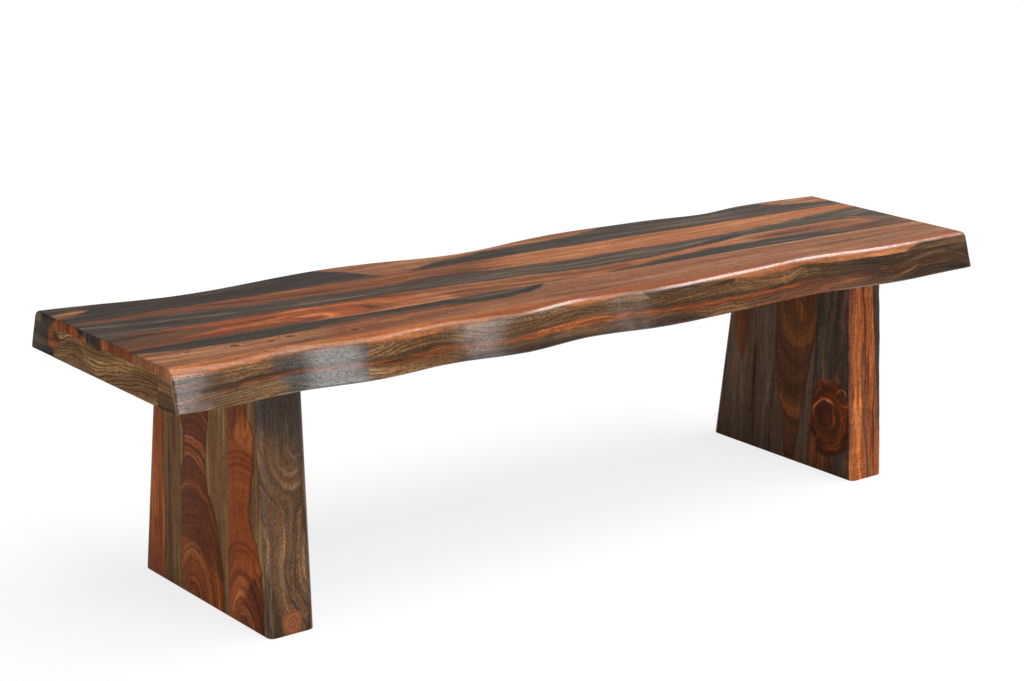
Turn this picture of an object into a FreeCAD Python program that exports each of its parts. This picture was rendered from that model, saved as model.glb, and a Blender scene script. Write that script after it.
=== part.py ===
import FreeCAD, Part
import os
import re
import Sketcher

# Dining bench: a hollow live-edge seat on two slab legs, each leg made of three boards.
# Millimetres. X runs along the bench, Y from front to back, Z up; the origin is on the floor.

SIZES = {
    # Seat
    "length": 1727,
    "seat_depth": 466,
    "height": 457,
    "panel_thickness": 15.5,
    "strip_thickness": 24.5,
    "edge_strip_width": 75.5,
    "rear_flare": 17,
    "roundover": 14,
    "under_chamfer": 2.5,
    "board_width": 95,
    "board_shift": 10,
    "fascia_thickness": 45,
    "centre_batten_width": 90,
    # Legs
    "leg_thickness": 83,
    "leg_overhang": 169.5,
    "leg_shift": -4,
    "leg_floor_setback": 45,
    "leg_top_setback": 82.5,
    "leg_mid_board": 140,
    "leg_round": 10,
    "cleat_size": 36,
    "cleat_length": 190,
    # Dowels and coach screws
    "fit_gap": 0.3,
    "end_gap": 1,
    "seat_dowel_diameter": 6,
    "seat_dowel_length": 40,
    "leg_dowel_diameter": 12,
    "leg_dowel_length": 70,
    "screw_diameter": 8,
    "screw_length": 60,
    "screw_head_height": 5.3,
    "screw_head_corner": 7.5,
    "upright_screw_inset": 60,
    "level_screw_inset": 17,
    # Extra wood on a blank before it is cut to the seat's outline
    "saw_allowance": 12,
}

# Lengths that follow from the ones above
DERIVED = {
    "underside": "height - panel_thickness - 2 * strip_thickness",
    "panel_under": "height - panel_thickness",
    "strip_face": "seat_depth / 2 - edge_strip_width",
    "leg_centre": "length / 2 - leg_overhang - leg_thickness / 2",
    "leg_floor_depth": "seat_depth - 2 * leg_floor_setback",
    "leg_top_depth": "seat_depth - 2 * leg_top_setback",
    "cleat_under": "underside - cleat_size",
    "cleat_centre": "leg_thickness / 2 + cleat_size / 2",
    "cleat_face": "leg_thickness / 2 + cleat_size",
    "upright_screw_pitch": "cleat_length - 2 * upright_screw_inset",
    "level_screw_pitch": "cleat_length - 2 * level_screw_inset",
}

# Live edge at the front: share of the length, inset of the lower edge, extra inset of the upper edge
FRONT_EDGE = [
    (0.00, 23, 19), (0.05, 18, 18), (0.13, 26, 21), (0.19, 12, 21), (0.23, 13, 22), (0.29, 20, 20),
    (0.37, 5, 16), (0.45, 20, 17), (0.53, 4, 18), (0.63, 7, 20), (0.70, 13, 21), (0.76, 19, 23),
    (0.80, 15, 22), (0.84, 6, 23), (0.88, 0, 25), (0.95, 3, 22), (1.00, 4, 22),
]

# Live edge at the rear: share of the length, inset of the lower edge
REAR_EDGE = [
    (0.00, 0), (0.05, 12), (0.11, 31), (0.18, 32), (0.24, 20), (0.30, 12), (0.37, 21), (0.43, 39),
    (0.48, 40), (0.56, 18), (0.63, 8), (0.69, 11), (0.75, 16), (0.82, 27), (0.87, 14), (0.92, 11),
    (1.00, 19),
]

SEAT_DOWEL_SHARES = (0.1, 0.5, 0.9)
LEG_DOWEL_SHARES = (0.25, 0.75)
SIDES = {"left": -1, "right": 1}

UPRIGHT = FreeCAD.Rotation()
ALONG_X = FreeCAD.Rotation(FreeCAD.Vector(0, 1, 0), 90)
AGAINST_X = FreeCAD.Rotation(FreeCAD.Vector(0, 1, 0), -90)
ALONG_Y = FreeCAD.Rotation(FreeCAD.Vector(1, 0, 0), -90)

doc = FreeCAD.newDocument("dining_bench")
nodes = []


# Sheet of sizes

sheet = doc.addObject("Spreadsheet::Sheet", "sizes")
for row, (name, size) in enumerate({**SIZES, **DERIVED}.items(), start=1):
    sheet.set(f"A{row}", name)
    sheet.setAlias(f"B{row}", name)
    sheet.set(f"B{row}", f"={size}" if name in DERIVED else str(size))
doc.recompute()


# Helpers: a formula is text over the sheet's names, such as "length / 2"


def in_sheet(formula):
    """Write the sheet's name in front of each size in a formula."""
    return re.sub(r"[a-z_]+", lambda word: f"sizes.{word.group()}", formula)


def value(formula):
    """Number that a formula gives for the sheet's present sizes."""
    return float(sheet.evalExpression(in_sheet(formula)))


def place(thing, spot, turn=UPRIGHT):
    """Put an object's own origin at a spot given by three formulas."""
    thing.Placement.Rotation = turn
    for axis, formula in zip("xyz", spot):
        thing.setExpression(f"Placement.Base.{axis}", in_sheet(formula))


def add(kind, name, spot=("0", "0", "0"), turn=UPRIGHT, **formulas):
    """Add a primitive with its sizes and its place bound to the sheet."""
    thing = doc.addObject(kind, name)
    for prop, formula in formulas.items():
        thing.setExpression(prop, in_sheet(formula))
    place(thing, spot, turn)
    return thing


def block(name, x, y, z):
    """Box between a pair of formulas along each axis."""
    runs = [f"{high} - ({low})" for low, high in (x, y, z)]
    return add("Part::Box", name, (x[0], y[0], z[0]), Length=runs[0], Width=runs[1], Height=runs[2])


def group(name, members):
    """Separate solids kept as one object."""
    thing = doc.addObject("Part::Compound", name)
    thing.Links = members
    return thing


def boolean(kind, name, base, tool):
    thing = doc.addObject(f"Part::{kind}", name)
    thing.Base = base
    thing.Tool = tool
    return thing


def node(label, solid):
    """Mark an object as a finished sub-part."""
    solid.Label = label
    nodes.append(solid)


def drilled(label, solid, *hole_sets):
    """Finish a wooden piece by cutting its holes."""
    for count, holes in enumerate(hole_sets):
        solid = boolean("Cut", f"{label}_drilled_{count}", solid, holes)
    node(label, solid)


# Seat envelope: the waved outlines from the underside to the top, joined and rounded over


def waved_line(points, sign):
    """Smooth curve through (share of the length, inset) points on one side of the seat."""
    curve = Part.BSplineCurve()
    places = [FreeCAD.Vector((share - 0.5) * sheet.length, sign * (sheet.seat_depth / 2 - inset), 0)
              for share, inset in points]
    curve.interpolate(Points=places, Parameters=[share for share, inset in points])
    return curve


def outline(name, level, flare_share, trim):
    """Outline of the seat at a level, moved in by a share of the flare and by a trim."""
    front = waved_line([(share, inset + flare_share * flare + trim)
                        for share, inset, flare in FRONT_EDGE], -1)
    rear = waved_line([(share, inset + flare_share * sheet.rear_flare + trim)
                       for share, inset in REAR_EDGE], 1)
    sketch = doc.addObject("Sketcher::SketchObject", name)
    sketch.addGeometry([
        front,
        Part.LineSegment(front.EndPoint, rear.EndPoint),
        rear,
        Part.LineSegment(rear.StartPoint, front.StartPoint),
    ])
    place(sketch, ("0", "0", level))
    return sketch


loft = doc.addObject("Part::Loft", "seat_loft")
loft.Sections = [
    outline("underside_outline", "underside", 0, sheet.under_chamfer),
    outline("widest_outline", "underside + under_chamfer", 0, 0),
    outline("top_outline", "height", 1, 0),
]
loft.Solid = True
loft.Ruled = True
doc.recompute()

envelope = doc.addObject("Part::Fillet", "seat_envelope")
envelope.Base = loft
envelope.Edges = [
    (number, sheet.roundover, sheet.roundover)
    for number, edge in enumerate(loft.Shape.Edges, start=1)
    if edge.BoundBox.XLength > sheet.length / 2 and edge.BoundBox.ZMin > sheet.height - 0.01]


def from_envelope(name, x, y, z):
    """Blank cut to the seat's outer shape."""
    return boolean("Common", name, block(f"{name}_blank", x, y, z), envelope)


# Dowels, all of them along Y: each set gives the pins and, a little larger, their holes


def dowels(label, spots, size):
    """Make pins with their centres at the spots, and return the matching holes."""
    sets = []
    for kind, gap, extra in (("pins", "0", "0"), ("holes", "fit_gap", "2 * end_gap")):
        run = f"({size}_length + {extra})"
        sets.append(group(f"{label}_{kind}", [
            add("Part::Cylinder", f"{label}_{kind}_{count}", (x, f"{y} - {run} / 2", z), ALONG_Y,
                Radius=f"{size}_diameter / 2 + {gap}", Height=run)
            for count, (x, y, z) in enumerate(spots)]))
    pins, holes = sets
    node(label, pins)
    return holes


BOARD_JOINTS = ("board_shift - board_width", "board_shift", "board_shift + board_width")
seat_dowel_holes = dowels("seat_dowels", [
    (f"({share} - 0.5) * length", joint, "height - panel_thickness / 2")
    for joint in BOARD_JOINTS for share in SEAT_DOWEL_SHARES], "seat_dowel")

leg_dowel_holes = dowels("leg_dowels", [
    (f"{side} * leg_centre", f"leg_shift + {joint} * leg_mid_board / 2", f"{share} * underside")
    for side in SIDES.values() for joint in (-1, 1) for share in LEG_DOWEL_SHARES], "leg_dowel")


# Coach screws through the cleats: upright ones into the leg battens, level ones into the legs


def copies(name, master, spots):
    """Links to one master shape, grouped."""
    links = []
    for count, (spot, turn) in enumerate(spots):
        link = doc.addObject("App::Link", f"{name}_{count}")
        link.LinkedObject = master
        link.LinkTransform = True
        place(link, spot, turn)
        links.append(link)
    return group(name, links)


def screw_spots():
    """Where the head of each screw meets its cleat, and which way the screw points."""
    spots = []
    for side in SIDES.values():
        for face in (-1, 1):
            for end in (-0.5, 0.5):
                spots.append(((f"{side} * leg_centre + {face} * cleat_centre",
                               f"leg_shift + {end} * upright_screw_pitch", "cleat_under"), UPRIGHT))
                spots.append(((f"{side} * leg_centre + {face} * cleat_face",
                               f"leg_shift + {end} * level_screw_pitch", "underside - cleat_size / 2"),
                              AGAINST_X if face > 0 else ALONG_X))
    return spots


screw_head = add("Part::Prism", "screw_head", ("0", "0", "0 - screw_head_height"),
                 Circumradius="screw_head_corner", Height="screw_head_height")
screw_shank = add("Part::Cylinder", "screw_shank", Radius="screw_diameter / 2", Height="screw_length")
screw_hole = add("Part::Cylinder", "screw_hole", Radius="screw_diameter / 2 + fit_gap",
                 Height="screw_length + end_gap")
node("coach_screws", copies("screws", boolean("Fuse", "screw", screw_head, screw_shank), screw_spots()))
screw_holes = copies("screw_holes", screw_hole, screw_spots())


# Seat boards, edge strips and end fascias

WHOLE_LENGTH = ("0 - length / 2 - saw_allowance", "length / 2 + saw_allowance")
FRONT_LIMIT = "0 - seat_depth / 2 - saw_allowance"
REAR_LIMIT = "seat_depth / 2 + saw_allowance"
PANEL_LEVELS = ("panel_under", "height + saw_allowance")
STRIP_LEVELS = {
    "upper": ("underside + strip_thickness", "panel_under"),
    "lower": ("underside - saw_allowance", "underside + strip_thickness"),
}
STRIP_RUNS = {"front": (FRONT_LIMIT, "0 - strip_face"), "rear": ("strip_face", REAR_LIMIT)}
BETWEEN_STRIPS = ("0 - strip_face", "strip_face")
FASCIA_LEVELS = ("underside - saw_allowance", "panel_under")
FASCIA_RUNS = {
    "left": ("0 - length / 2 - saw_allowance", "fascia_thickness - length / 2"),
    "right": ("length / 2 - fascia_thickness", "length / 2 + saw_allowance"),
}

board_lines = (FRONT_LIMIT, *BOARD_JOINTS, REAR_LIMIT)
for name, front, rear in zip(("front", "mid_front", "mid_rear", "rear"), board_lines, board_lines[1:]):
    label = f"seat_board_{name}"
    board = from_envelope(f"{label}_solid", WHOLE_LENGTH, (front, rear), PANEL_LEVELS)
    drilled(label, board, seat_dowel_holes)

for edge, run in STRIP_RUNS.items():
    for layer, levels in STRIP_LEVELS.items():
        label = f"{edge}_edge_{layer}_strip"
        node(label, from_envelope(f"{label}_solid", WHOLE_LENGTH, run, levels))

for name, run in FASCIA_RUNS.items():
    label = f"{name}_end_fascia"
    node(label, from_envelope(f"{label}_solid", run, BETWEEN_STRIPS, FASCIA_LEVELS))


# Battens inside the hollow seat

HOLLOW_LEVELS = ("underside", "panel_under")
for name, side in SIDES.items():
    label = f"{name}_leg_batten"
    run = (f"{side} * leg_centre - cleat_face", f"{side} * leg_centre + cleat_face")
    drilled(label, block(f"{label}_solid", run, BETWEEN_STRIPS, HOLLOW_LEVELS), screw_holes)

CENTRE_RUN = ("0 - centre_batten_width / 2", "centre_batten_width / 2")
node("centre_batten", block("centre_batten_solid", CENTRE_RUN, BETWEEN_STRIPS, HOLLOW_LEVELS))


# Legs: each board is padded from a sketch of its front-to-back outline

MID_EDGES = ("0 - leg_mid_board / 2", "leg_mid_board / 2")
LEG_BOARDS = {
    "front": ("0 - leg_floor_depth / 2", MID_EDGES[0], MID_EDGES[0], "0 - leg_top_depth / 2"),
    "mid": (MID_EDGES[0], MID_EDGES[1], MID_EDGES[1], MID_EDGES[0]),
    "rear": (MID_EDGES[1], "leg_floor_depth / 2", "leg_top_depth / 2", MID_EDGES[1]),
}
CORNER_LEVELS = ("0", "0", "underside", "underside")


def leg_sketch(body, name, corners):
    """Four-sided outline with every corner bound to the sheet."""
    sketch = body.newObject("Sketcher::SketchObject", name)
    plane = next(item for item in body.Origin.OriginFeatures if item.Role == "YZ_Plane")
    sketch.AttachmentSupport = [(plane, "")]
    sketch.MapMode = "FlatFace"
    spots = list(zip(corners, CORNER_LEVELS))
    points = [FreeCAD.Vector(value(across), value(level), 0) for across, level in spots]
    for start, end in zip(points, points[1:] + points[:1]):
        sketch.addGeometry(Part.LineSegment(start, end))
    for line, spot in enumerate(spots):
        sketch.addConstraint(Sketcher.Constraint("Coincident", line, 2, (line + 1) % 4, 1))
        for kind, formula in zip(("DistanceX", "DistanceY"), spot):
            number = sketch.addConstraint(Sketcher.Constraint(kind, -1, 1, line, 1, value(formula)))
            sketch.setExpression(f"Constraints[{number}]", in_sheet(formula))
    return sketch


def leg_board(label, middle, corners):
    """Board with its sloping edges rounded."""
    body = doc.addObject("PartDesign::Body", f"{label}_body")
    pad = body.newObject("PartDesign::Pad", f"{label}_pad")
    pad.Profile = leg_sketch(body, f"{label}_sketch", corners)
    pad.Midplane = True
    pad.setExpression("Length", in_sheet("leg_thickness"))
    body.Tip = pad
    place(body, (middle, "leg_shift", "0"))
    doc.recompute()
    sloping = [f"Edge{number}" for number, edge in enumerate(pad.Shape.Edges, start=1)
               if edge.BoundBox.ZLength > 1 and edge.BoundBox.YLength > 1]
    if sloping:
        rounding = body.newObject("PartDesign::Fillet", f"{label}_rounding")
        rounding.Base = (pad, sloping)
        rounding.setExpression("Radius", in_sheet("leg_round"))
        body.Tip = rounding
    return body


for name, side in SIDES.items():
    middle = f"{side} * leg_centre"
    for board, corners in LEG_BOARDS.items():
        label = f"{name}_leg_board_{board}"
        drilled(label, leg_board(label, middle, corners), leg_dowel_holes, screw_holes)
    for face, sign in (("inner", -side), ("outer", side)):
        label = f"{name}_leg_{face}_cleat"
        centre = f"{middle} + {sign} * cleat_centre"
        solid = block(f"{label}_solid", (f"{centre} - cleat_size / 2", f"{centre} + cleat_size / 2"),
                      ("leg_shift - cleat_length / 2", "leg_shift + cleat_length / 2"),
                      ("cleat_under", "underside"))
        drilled(label, solid, screw_holes)


# Checks and export

doc.recompute()
for thing in doc.Objects:
    if "Invalid" in thing.State or "Error" in thing.State:
        raise RuntimeError(f"{thing.Label} failed to build: {thing.State}")
os.makedirs("parts", exist_ok=True)
for thing in nodes:
    if thing.Shape.isNull() or not thing.Shape.isValid() or not thing.Shape.Solids:
        raise RuntimeError(f"{thing.Label} has no valid solid")
    thing.Shape.exportStep(f"parts/{thing.Label}.step")
    print(f"{thing.Label}: {len(thing.Shape.Solids)} solids, {thing.Shape.Volume / 1000:.1f} cm3")
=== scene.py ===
import math
from dataclasses import dataclass

import bpy
import numpy as np
from mathutils import Matrix, Vector, noise


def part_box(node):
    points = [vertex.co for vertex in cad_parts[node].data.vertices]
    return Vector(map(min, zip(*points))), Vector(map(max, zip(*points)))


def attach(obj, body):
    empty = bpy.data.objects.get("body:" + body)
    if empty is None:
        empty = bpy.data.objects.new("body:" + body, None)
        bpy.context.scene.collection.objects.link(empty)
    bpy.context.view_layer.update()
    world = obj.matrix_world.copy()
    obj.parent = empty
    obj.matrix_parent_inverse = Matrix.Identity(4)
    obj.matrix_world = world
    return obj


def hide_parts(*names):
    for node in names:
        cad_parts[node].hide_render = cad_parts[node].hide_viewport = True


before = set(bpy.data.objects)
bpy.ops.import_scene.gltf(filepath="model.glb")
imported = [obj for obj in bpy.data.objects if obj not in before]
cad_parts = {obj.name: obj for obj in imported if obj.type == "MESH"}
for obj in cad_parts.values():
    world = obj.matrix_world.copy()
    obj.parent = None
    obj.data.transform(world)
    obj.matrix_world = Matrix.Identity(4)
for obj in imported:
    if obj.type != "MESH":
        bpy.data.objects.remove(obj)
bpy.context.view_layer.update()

# Dining bench: live-edge seat of glued boards on two slab legs. Metres, X along the bench, Y to the back.

MM = 0.001

# Levels and lines read from the frame
SEAT_X = (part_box("front_edge_lower_strip")[0].x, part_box("front_edge_lower_strip")[1].x)
LENGTH = SEAT_X[1] - SEAT_X[0]
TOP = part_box("seat_board_mid_front")[1].z
PANEL_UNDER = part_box("seat_board_mid_front")[0].z
STRIP_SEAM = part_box("front_edge_lower_strip")[1].z
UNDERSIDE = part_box("centre_batten")[0].z
JOINTS = [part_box(f"seat_board_{name}")[1].y for name in ("front", "mid_front", "mid_rear")]
STRIP_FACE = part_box("left_end_fascia")[1].y

# Live edge, the same lines as in the solids
HALF_DEPTH = 233 * MM
REAR_FLARE = 17
ROUNDOVER = 14 * MM
UNDER_CHAMFER = 2.5 * MM
WIDEST = UNDERSIDE + UNDER_CHAMFER
# Share of the length, inset of the lower edge, extra inset of the upper edge, in millimetres
FRONT_EDGE = [
    (0.00, 23, 19), (0.05, 18, 18), (0.13, 26, 21), (0.19, 12, 21), (0.23, 13, 22), (0.29, 20, 20),
    (0.37, 5, 16), (0.45, 20, 17), (0.53, 4, 18), (0.63, 7, 20), (0.70, 13, 21), (0.76, 19, 23),
    (0.80, 15, 22), (0.84, 6, 23), (0.88, 0, 25), (0.95, 3, 22), (1.00, 4, 22),
]
# The same at the rear, where the extra inset is REAR_FLARE all along
REAR_EDGE = [
    (0.00, 0), (0.05, 12), (0.11, 31), (0.18, 32), (0.24, 20), (0.30, 12), (0.37, 21), (0.43, 39),
    (0.48, 40), (0.56, 18), (0.63, 8), (0.69, 11), (0.75, 16), (0.82, 27), (0.87, 14), (0.92, 11),
    (1.00, 19),
]

# Small eases that the hand leaves on every edge
END_EASE = 3.5 * MM
JOINT_EASE = 0.12 * MM
FASCIA_EASE = 0.8 * MM
LEG_ROUND = 10 * MM
LEG_EASE = 2.2 * MM

# Hand-sanded waviness: depth, fineness of broad and of small waves along and up, share of the small ones
WORN_DEPTH = 0.45 * MM
WORN_WAVES = ((26, 38), (70, 60), 0.5)
RIPPLE_DEPTH = 2.4 * MM
RIPPLE_WAVES = ((24, 20), (60, 45), 0.6)
RIPPLE_SEEDS = (3.0, 7.0)

# Fineness of the meshes
STATION_STEP = 6 * MM
FACE_LEVELS = 6
LEG_LEVELS = 66
ARC_STEPS = 9
CORNER_STEPS = 6
EASE_STEPS = 3
SMOOTH_ANGLE = math.radians(32)


# Meshes


def natural_spline(knots, values):
    """Smooth curve through the values, as a function of the knots."""
    t = np.array(knots, float)
    y = np.array(values, float)
    h = np.diff(t)
    slope = np.diff(y) / h
    system = np.eye(len(t))
    right = np.zeros(len(t))
    for i in range(1, len(t) - 1):
        system[i, i - 1:i + 2] = h[i - 1], 2 * (h[i - 1] + h[i]), h[i]
        right[i] = 6 * (slope[i] - slope[i - 1])
    bend = np.linalg.solve(system, right)

    def curve(at):
        at = min(max(at, t[0]), t[-1])
        i = min(np.searchsorted(t, at, side="right") - 1, len(h) - 1)
        a, b = t[i + 1] - at, at - t[i]
        return ((bend[i] * a ** 3 + bend[i + 1] * b ** 3) / (6 * h[i])
                + (y[i] / h[i] - bend[i] * h[i] / 6) * a + (y[i + 1] / h[i] - bend[i + 1] * h[i] / 6) * b)

    return curve


def waves(kind, along, up, seeds):
    """Broad waves and a share of small ones, from -1 to 1."""
    broad, small, share = kind
    wave = noise.noise(Vector((along * broad[0], up * broad[1], seeds[0])))
    wave += share * noise.noise(Vector((along * small[0], up * small[1], seeds[1])))
    return max(-1, min(1, wave))


def ease_arc(size):
    """Steps of a rounded edge: the distance from the end and the drop of the face at each."""
    quarter = [math.pi / 2 * k / EASE_STEPS for k in range(EASE_STEPS + 1)]
    return [(size * (1 - math.sin(a)), size * (1 - math.cos(a))) for a in quarter]


def loft_faces(count, size):
    """Faces of a closed tube of count rings with size points each, capped at both ends."""
    faces = []
    for first in range(0, (count - 1) * size, size):
        for i in range(size):
            j = (i + 1) % size
            faces.append((first + i, first + j, first + size + j, first + size + i))
    faces.append(tuple(reversed(range(size))))
    faces.append(tuple(range((count - 1) * size, count * size)))
    return faces


def loft(name, rings):
    """Closed mesh through rings of points, each running clockwise seen along the rings."""
    points = [tuple(p) for ring in rings for p in ring]
    mesh = bpy.data.meshes.new(name)
    mesh.from_pydata(points, [], loft_faces(len(rings), len(rings[0])))
    mesh.validate()
    mesh.polygons.foreach_set("use_smooth", [True] * len(mesh.polygons))
    mesh.set_sharp_from_angle(angle=SMOOTH_ANGLE)
    mesh.update()
    piece = bpy.data.objects.new(name, mesh)
    bpy.context.scene.collection.objects.link(piece)
    return piece


def finish_piece(piece, material, slot, *nodes):
    """Give a finished mesh its wood and its place in the frame."""
    piece.data.materials.append(material)
    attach(piece, "root")
    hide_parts(*nodes)


# Seat: every piece is a section in Y and Z carried along the bench


def edge_lines(table):
    knots = [row[0] for row in table]
    inset = natural_spline(knots, [row[1] for row in table])
    flare = natural_spline(knots, [row[2] if len(row) > 2 else REAR_FLARE for row in table])
    return inset, flare


EDGES = {"front": (-1, *edge_lines(FRONT_EDGE)), "rear": (1, *edge_lines(REAR_EDGE))}


def worn(x, z, seed):
    """How far the hand-sanded live edge falls short of the true line."""
    return WORN_DEPTH * (1 + waves(WORN_WAVES, x, z, (seed, seed)))


def face_y(edge, x, z):
    """Y of the live edge's sloping face at a place along the bench and a level."""
    sign, inset, flare = EDGES[edge]
    share = (x - SEAT_X[0]) / LENGTH
    lean = (z - WIDEST) / (TOP - WIDEST)
    back = inset(share) * MM + flare(share) * MM * max(0, lean) + max(0, WIDEST - z)
    return sign * (HALF_DEPTH - back - worn(x, z, sign))


def stations():
    """Places along the bench with the drop at each, closer where the ends are eased."""
    ease = ease_arc(END_EASE)
    inner = np.linspace(SEAT_X[0] + END_EASE, SEAT_X[1] - END_EASE, int(LENGTH / STATION_STEP))[1:-1]
    first = [(SEAT_X[0] + x, drop) for x, drop in reversed(ease)]
    last = [(SEAT_X[1] - x, drop) for x, drop in ease]
    return first + [(x, 0.0) for x in inner] + last


def edge_board_section(edge, x, drop, joint):
    """Section of an outer seat board: joint face, underside, sloping face, roundover and top."""
    sign, _, flare = EDGES[edge]
    share = (x - SEAT_X[0]) / LENGTH
    lean = flare(share) * MM / (TOP - WIDEST)
    slant = math.hypot(1, lean)
    centre_z = TOP - ROUNDOVER
    centre_y = face_y(edge, x, centre_z) - sign * ROUNDOVER * slant
    arc = np.linspace(math.atan(lean), math.pi / 2, ARC_STEPS)
    reach = ROUNDOVER - drop
    ring = [(joint, PANEL_UNDER), (face_y(edge, x, PANEL_UNDER) - sign * drop, PANEL_UNDER)]
    ring += [(centre_y + sign * reach * math.cos(a), centre_z + reach * math.sin(a)) for a in arc]
    return ring + [(joint, TOP - drop)]


def mid_board_section(drop, front, rear):
    return [(front, PANEL_UNDER), (front, TOP - drop), (rear, TOP - drop), (rear, PANEL_UNDER)]


def strip_section(edge, x, drop, low, high):
    """Section of an edge strip: inner face, then the sloping face from the bottom to the top."""
    sign = EDGES[edge][0]
    foot = [low + min(drop, FASCIA_EASE)] if low < WIDEST else []
    levels = foot + list(np.linspace(max(low, WIDEST), high, FACE_LEVELS))
    ring = [(sign * STRIP_FACE, high), (sign * STRIP_FACE, levels[0])]
    return ring + [(face_y(edge, x, z) - sign * drop, z) for z in levels]


def seat_piece(name, section, clockwise):
    """Carry a section along the bench, with its ends eased."""
    rings = []
    for x, drop in stations():
        ring = [(x, y, z) for y, z in section(x, drop)]
        rings.append(ring if clockwise else ring[::-1])
    return loft(name, rings)


# Legs: every board is a section in X and Y carried up the leg


def leg_stations(height):
    """Levels up the leg with the drop at each, closer where the foot is eased."""
    return ease_arc(LEG_EASE)[::-1] + [(z, 0.0) for z in np.linspace(LEG_EASE, height, LEG_LEVELS)[1:]]


def corner_arc(x, y, radius, turn_x, turn_y):
    """Rounded corner of a section, from the X face to the Y face."""
    arc = [math.pi / 2 * k / CORNER_STEPS for k in range(CORNER_STEPS + 1)]
    return [(x + turn_x * radius * (math.cos(a) - 1), y + turn_y * radius * (math.sin(a) - 1)) for a in arc]


def leg_section(x_faces, y_faces, rounds, drop):
    """Four-sided section; rounds gives the corner radius at the front and at the rear."""
    (x_low, x_high), (y_low, y_high) = x_faces, y_faces
    x_low, x_high = x_low + drop, x_high - drop
    front, rear = rounds
    y_low = y_low + (drop if front > LEG_EASE else 0)
    y_high = y_high - (drop if rear > LEG_EASE else 0)
    ring = corner_arc(x_high, y_high, rear, 1, 1)
    ring += corner_arc(x_low, y_high, rear, -1, 1)[::-1]
    ring += corner_arc(x_low, y_low, front, -1, -1)
    ring += corner_arc(x_high, y_low, front, 1, -1)[::-1]
    return ring


def leg_board(name, ripple):
    """Board of a leg in its node's place; the outer edges slope inward and are rounded."""
    low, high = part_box(name)
    part = name.split("_")[-1]
    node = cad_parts[name].data.vertices
    top_front = min(v.co.y for v in node if v.co.z > high.z - MM)
    top_rear = max(v.co.y for v in node if v.co.z > high.z - MM)
    rounds = {"front": (LEG_ROUND, JOINT_EASE), "mid": (JOINT_EASE, JOINT_EASE),
              "rear": (JOINT_EASE, LEG_ROUND)}[part]
    rings = []
    for z, drop in leg_stations(high.z):
        share = z / high.z
        front = low.y + (top_front - low.y) * share
        rear = high.y + (top_rear - high.y) * share
        ring = []
        for x, y in leg_section((low.x, high.x), (front, rear), rounds, drop):
            if ripple and y < front + LEG_ROUND:
                y += ripple * (0.5 + 0.5 * waves(RIPPLE_WAVES, x, z, RIPPLE_SEEDS))
            ring.append((x, y, z))
        rings.append(ring)
    return loft(name + "_wood", rings)


# Node graphs


def shown(red, green, blue):
    """Linear colour for the 0-255 values that a picture shows."""
    parts = [c / 255 for c in (red, green, blue)]
    linear = [c / 12.92 if c <= 0.04045 else ((c + 0.055) / 1.055) ** 2.4 for c in parts]
    return (*linear, 1.0)


@dataclass
class Value:
    """A number in a node graph, usable in plain formulas."""

    graph: object
    socket: object

    def __add__(self, other):
        return self.graph.math("ADD", self, other)

    def __sub__(self, other):
        return self.graph.math("SUBTRACT", self, other)

    def __rsub__(self, other):
        return self.graph.math("SUBTRACT", other, self)

    def __mul__(self, other):
        return self.graph.math("MULTIPLY", self, other)

    __radd__ = __add__


class Graph:
    """A material whose nodes are written as nested calls."""

    def __init__(self, name):
        self.material = bpy.data.materials.new(name)
        self.material.use_nodes = True
        self.tree = self.material.node_tree
        self.shader = self.tree.nodes["Principled BSDF"]
        place = self.add("TexCoord")
        split = self.add("SeparateXYZ", self.out(place, "Object"))
        self.x, self.y, self.z = (self.out(split, i) for i in range(3))
        geometry = self.add("NewGeometry")
        facing = self.add("SeparateXYZ", self.out(geometry, "Normal"))
        self.facing = [self.out(facing, i) for i in range(3)]

    def add(self, kind, *inputs, **props):
        node = self.tree.nodes.new("ShaderNode" + kind)
        for key, setting in props.items():
            setattr(node, key, setting)
        for socket, given in zip(node.inputs, inputs):
            self.feed(socket, given)
        return node

    def feed(self, socket, given):
        if isinstance(given, Value):
            self.tree.links.new(given.socket, socket)
        elif given is not None:
            socket.default_value = given

    def out(self, node, key=0):
        return Value(self, node.outputs[key])

    def math(self, operation, *inputs):
        return self.out(self.add("Math", *inputs, operation=operation))

    def size(self, value):
        """Number without its sign."""
        return self.math("ABSOLUTE", value)

    def ramp(self, value, low, high):
        """Smooth step from 0 to 1 as a value goes from one number to another."""
        node = self.add("MapRange", value, low, high, 0.0, 1.0, interpolation_type="SMOOTHSTEP")
        return self.out(node)

    def noise(self, parts, detail, roughness=0.55):
        node = self.add("TexNoise", self.out(self.add("CombineXYZ", *parts)))
        for key, setting in (("Scale", 1.0), ("Detail", detail), ("Roughness", roughness)):
            node.inputs[key].default_value = setting
        return self.out(node)

    def mix(self, share, first, second):
        """Blend of two colours."""
        node = self.add("Mix", data_type="RGBA")
        for index, given in ((0, share), (6, first), (7, second)):
            self.feed(node.inputs[index], given)
        return self.out(node, 2)

    def shade(self, colour, factor):
        """Colour made darker or lighter by a number."""
        node = self.add("VectorMath", colour, operation="SCALE")
        self.feed(node.inputs["Scale"], factor)
        return self.out(node)

    def line(self, value, points):
        """Smooth line through (place, height) points in millimetres, level past its ends."""
        places, heights = zip(*points)
        low, high = min(heights), max(heights) + 0.01
        share = self.out(self.add("MapRange", value, places[0] * MM, places[-1] * MM, 0.0, 1.0))
        node = self.add("FloatCurve")
        self.feed(node.inputs["Value"], share)
        curve = node.mapping.curves[0]
        spots = [((p - places[0]) / (places[-1] - places[0]), (h - low) / (high - low)) for p, h in points]
        for spot, place in zip(list(curve.points), (spots[0], spots[-1])):
            spot.location = place
        for place in spots[1:-1]:
            curve.points.new(*place)
        for spot in curve.points:
            spot.handle_type = "AUTO_CLAMPED"
        node.mapping.update()
        return self.out(node) * ((high - low) * MM) + low * MM


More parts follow.
